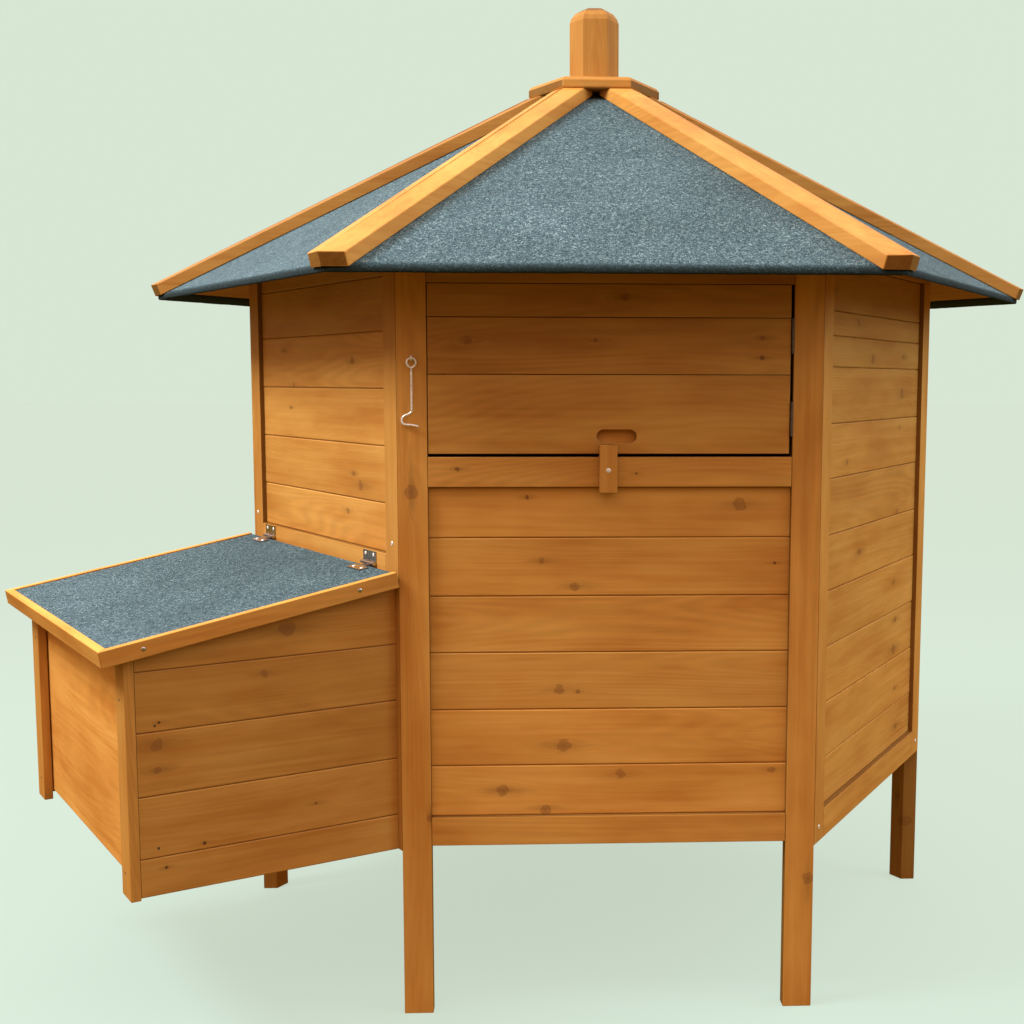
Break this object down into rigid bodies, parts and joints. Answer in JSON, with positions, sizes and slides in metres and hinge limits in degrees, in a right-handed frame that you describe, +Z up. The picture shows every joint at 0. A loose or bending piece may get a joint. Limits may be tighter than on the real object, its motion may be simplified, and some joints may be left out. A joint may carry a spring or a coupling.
{
  "type": "hexagonal chicken coop with nest box",
  "caption": "Hexagonal timber hen house on legs with a felted six-sided roof, a front door, a lidded nest box on one side and a let-down ramp door at the back; it shelters a few hens.",
  "frame": {"origin": "the middle of the whole footprint, nest box included, at ground level", "axes": "+Z up; the door wall faces -Y; +X points to the right of someone who faces the door, along the longest extent"},
  "size_m": [1.7914, 1.448, 1.6086],
  "materials": {
    "stained_fir": "honey-coloured stain, satin",
    "mineral_roof_felt": "thin boards under grey-green mineral roofing felt, matte and granular",
    "zinc_plated_steel": "zinc plated"
  },
  "bodies": {
    "house": {"leg_front_left": "stained_fir", "leg_front_right": "stained_fir", "leg_right": "stained_fir", "leg_back_right": "stained_fir", "leg_back_left": "stained_fir", "leg_left": "stained_fir", "right_wall_stile_front": "stained_fir", "right_wall_stile_back": "stained_fir", "nest_wall_stile_front": "stained_fir", "nest_wall_stile_back": "stained_fir", "front_bottom_rail": "stained_fir", "front_sill_rail": "stained_fir", "front_boards": "stained_fir", "right_wall_bottom_rail": "stained_fir", "right_wall_boards": "stained_fir", "nest_wall_bottom_rail": "stained_fir", "nest_wall_hinge_rail": "stained_fir", "nest_wall_boards": "stained_fir", "back_right_wall": "stained_fir", "back_wall": "stained_fir", "back_left_wall": "stained_fir", "wall_plate": "stained_fir", "nest_side_front": "stained_fir", "nest_side_back": "stained_fir", "nest_corner_post_front": "stained_fir", "nest_corner_post_back": "stained_fir", "nest_end_panel": "stained_fir", "nest_floor": "stained_fir", "hip_batten_front_left": "stained_fir", "hip_batten_front_right": "stained_fir", "hip_batten_right": "stained_fir", "hip_batten_back_right": "stained_fir", "hip_batten_back_left": "stained_fir", "hip_batten_left": "stained_fir", "cap_plate": "stained_fir", "finial": "stained_fir", "floor": "stained_fir", "perch": "stained_fir", "roof_panel_front": "mineral_roof_felt", "roof_panel_right": "mineral_roof_felt", "roof_panel_back_right": "mineral_roof_felt", "roof_panel_back": "mineral_roof_felt", "roof_panel_back_left": "mineral_roof_felt", "roof_panel_nest": "mineral_roof_felt", "door_hinge_lower": "zinc_plated_steel", "door_hinge_upper": "zinc_plated_steel", "hook_screw": "zinc_plated_steel", "lid_hinge_wall_leaf_front": "zinc_plated_steel", "lid_hinge_wall_leaf_back": "zinc_plated_steel", "ramp_hinge": "zinc_plated_steel"},
    "door": {"door": "stained_fir", "door_ledges": "stained_fir"},
    "turn_button": {"turn_button": "stained_fir"},
    "hook": {"hook": "zinc_plated_steel"},
    "lid": {"lid_frame": "stained_fir", "lid_panel": "mineral_roof_felt", "lid_hinge_lid_leaf_front": "zinc_plated_steel", "lid_hinge_lid_leaf_back": "zinc_plated_steel"},
    "ramp_door": {"ramp_door": "stained_fir"},
    "ramp_button": {"ramp_button": "stained_fir"}
  },
  "joints": [
    {"name": "door_swing", "type": "hinge", "parent": "house", "child": "door", "pos_m": [0.36596, -0.50061, 0.9685], "axis": [0, 0, 1], "range_deg": [0, 105]},
    {"name": "turn_button_turn", "type": "hinge", "parent": "house", "child": "turn_button", "pos_m": [0.09766, -0.50161, 0.823], "axis": [0, -1, 0], "continuous": true},
    {"name": "hook_swing", "type": "hinge", "parent": "house", "child": "hook", "pos_m": [-0.18544, -0.50511, 0.9775], "axis": [0, -1, 0], "range_deg": [-150, 150]},
    {"name": "lid_lift", "type": "hinge", "parent": "house", "child": "lid", "pos_m": [-0.3663, -0.23364, 0.6775], "axis": [-0.5, 0.866, 0], "range_deg": [0, 100]},
    {"name": "ramp_let_down", "type": "hinge", "parent": "house", "child": "ramp_door", "pos_m": [0.10216, 0.57826, 0.2985], "axis": [-1, 0, 0], "range_deg": [0, 131]},
    {"name": "ramp_button_turn", "type": "hinge", "parent": "house", "child": "ramp_button", "pos_m": [0.10216, 0.57976, 0.775], "axis": [0, 1, 0], "continuous": true}
  ]
}
